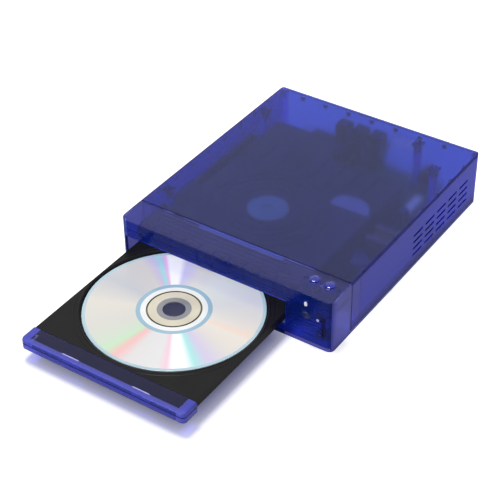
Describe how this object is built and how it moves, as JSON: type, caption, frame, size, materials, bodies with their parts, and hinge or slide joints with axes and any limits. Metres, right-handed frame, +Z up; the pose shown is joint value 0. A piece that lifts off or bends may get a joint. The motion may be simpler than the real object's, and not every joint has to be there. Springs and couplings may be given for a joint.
{
  "type": "disc player with loading tray",
  "caption": "Compact disc player in clear tinted plastic, with a motor-driven loading tray, a disc in it, a lifting deck, a pickup and push buttons.",
  "frame": {"origin": "on the table, under the middle of the bounding box with the tray open", "axes": "+Y from the tray's front to the sockets at the back, +Z up, +X to the right seen from the front"},
  "size_m": [0.168, 0.3204, 0.0443],
  "materials": {
    "blue_shell": "clear tinted, gloss moulded",
    "blue_base": "clear tinted, gloss moulded",
    "dark_panel": "clear tinted, gloss moulded",
    "rubber": "matte moulded",
    "screw_steel": "zinc plated",
    "black_abs": "fine grain moulded",
    "tray_black": "satin moulded",
    "clamp_plastic": "satin moulded",
    "bright_steel": "ground",
    "motor_can": "drawn, nickel plated",
    "white_acetal": "satin moulded",
    "disc_polycarbonate": "silvered, gloss",
    "deck_steel": "stamped, zinc coated",
    "hub_plastic": "satin moulded",
    "sled_casting": "die cast, bare",
    "lens_glass": "polished",
    "green_board": "solder mask",
    "chip_black": "moulded epoxy",
    "heat_sink_black": "black anodised",
    "tinplate": "tin plated",
    "capacitor_sleeve": "shrink sleeve",
    "jack_brass": "plated",
    "transformer_steel": "varnished laminations",
    "ribbon_grey": "extruded",
    "led_white": "clear moulded",
    "ir_window": "smoked, gloss moulded",
    "button_blue": "clear tinted, gloss moulded"
  },
  "bodies": {
    "chassis": {"base_cover": "blue_base", "top_cover": "blue_shell", "front_panel": "blue_shell", "rear_panel": "dark_panel", "rubber_feet": "rubber", "case_screws": "screw_steel", "loader_frame": "black_abs", "loader_top_plate": "black_abs", "loader_screws": "screw_steel", "load_motor": "motor_can", "drive_belt": "rubber", "main_board": "green_board", "board_chips": "chip_black", "heat_sink": "heat_sink_black", "shield_can": "tinplate", "board_capacitors": "capacitor_sleeve", "av_jacks": "jack_brass", "video_socket": "tinplate", "power_inlet": "chip_black", "power_board": "green_board", "transformer": "transformer_steel", "power_capacitors": "capacitor_sleeve", "board_screws": "screw_steel", "board_ribbon": "ribbon_grey", "control_board": "green_board", "tact_switches": "chip_black", "status_led": "led_white", "ir_receiver": "ir_window"},
    "tray": {"tray": "tray_black", "tray_door": "blue_shell"},
    "disc": {"disc": "disc_polycarbonate"},
    "deck": {"deck_plate": "deck_steel", "spindle_motor": "motor_can", "guide_rods": "bright_steel", "sled_motor": "motor_can"},
    "spindle": {"turntable": "hub_plastic", "turntable_pad": "rubber"},
    "sled": {"pickup_sled": "sled_casting", "pickup_lens": "lens_glass"},
    "lead_screw": {"lead_screw": "bright_steel"},
    "clamp": {"clamp_puck": "clamp_plastic", "clamp_ring": "bright_steel"},
    "drive_gear": {"drive_gear": "white_acetal"},
    "belt_wheel": {"belt_wheel": "white_acetal"},
    "motor_pulley": {"motor_pulley": "white_acetal"},
    "lift_cam": {"lift_cam": "white_acetal"},
    "power_button": {"power_button": "button_blue"},
    "eject_button": {"eject_button": "button_blue"}
  },
  "joints": [
    {"name": "tray_slide", "type": "slide", "parent": "chassis", "child": "tray", "axis": [0, 1, 0], "range_m": [0, 0.1105]},
    {"name": "disc_spin", "type": "hinge", "parent": "tray", "child": "disc", "pos_m": [-0.016, -0.08255, 0.0153], "axis": [0, 0, 1], "continuous": true},
    {"name": "deck_tilt", "type": "hinge", "parent": "chassis", "child": "deck", "pos_m": [-0.016, 0.10075, 0.008], "axis": [-1, 0, 0], "range_deg": [0, 2.2]},
    {"name": "spindle_spin", "type": "hinge", "parent": "deck", "child": "spindle", "pos_m": [-0.016, 0.02785, 0.0092], "axis": [0, -0.0384, 0.9993], "continuous": true},
    {"name": "sled_slide", "type": "slide", "parent": "deck", "child": "sled", "axis": [0, 0.9993, 0.0384], "range_m": [0, 0.034]},
    {"name": "lead_screw_turn", "type": "hinge", "parent": "deck", "child": "lead_screw", "pos_m": [-0.046, 0.05194, 0.00733], "axis": [0, 0.9993, 0.0384], "range_deg": [0, 4082]},
    {"name": "clamp_spin", "type": "hinge", "parent": "chassis", "child": "clamp", "pos_m": [-0.016, 0.02795, 0.0182], "axis": [0, 0, 1], "continuous": true},
    {"name": "drive_gear_turn", "type": "hinge", "parent": "chassis", "child": "drive_gear", "pos_m": [0.03, -0.02825, 0.01], "axis": [0, 0, 1], "range_deg": [0, 1057]},
    {"name": "belt_wheel_turn", "type": "hinge", "parent": "chassis", "child": "belt_wheel", "pos_m": [0.01869, -0.01694, 0.008], "axis": [0, 0, 1], "range_deg": [-2323, 0]},
    {"name": "motor_pulley_turn", "type": "hinge", "parent": "chassis", "child": "motor_pulley", "pos_m": [0.059, -0.02375, 0.008], "axis": [0, 0, 1], "range_deg": [-6966, 0]},
    {"name": "lift_cam_slide", "type": "slide", "parent": "chassis", "child": "lift_cam", "axis": [-1, 0, 0], "range_m": [0, 0.0141]},
    {"name": "power_button_press", "type": "slide", "parent": "chassis", "child": "power_button", "axis": [0, 0, -1], "range_m": [0, 0.0008], "stiffness_N_per_m": 400},
    {"name": "eject_button_press", "type": "slide", "parent": "chassis", "child": "eject_button", "axis": [0, 0, -1], "range_m": [0, 0.0008], "stiffness_N_per_m": 400}
  ],
  "couplings": [
    {"joint": "drive_gear_turn", "follows": "tray_slide", "rad_per_m": 166.67},
    {"joint": "belt_wheel_turn", "follows": "tray_slide", "rad_per_m": -366.67},
    {"joint": "motor_pulley_turn", "follows": "tray_slide", "rad_per_m": -1100},
    {"joint": "lead_screw_turn", "follows": "sled_slide", "rad_per_m": 2094.4},
    {"joint": "lift_cam_slide", "follows": "deck_tilt", "m_per_rad": 0.36461}
  ]
}
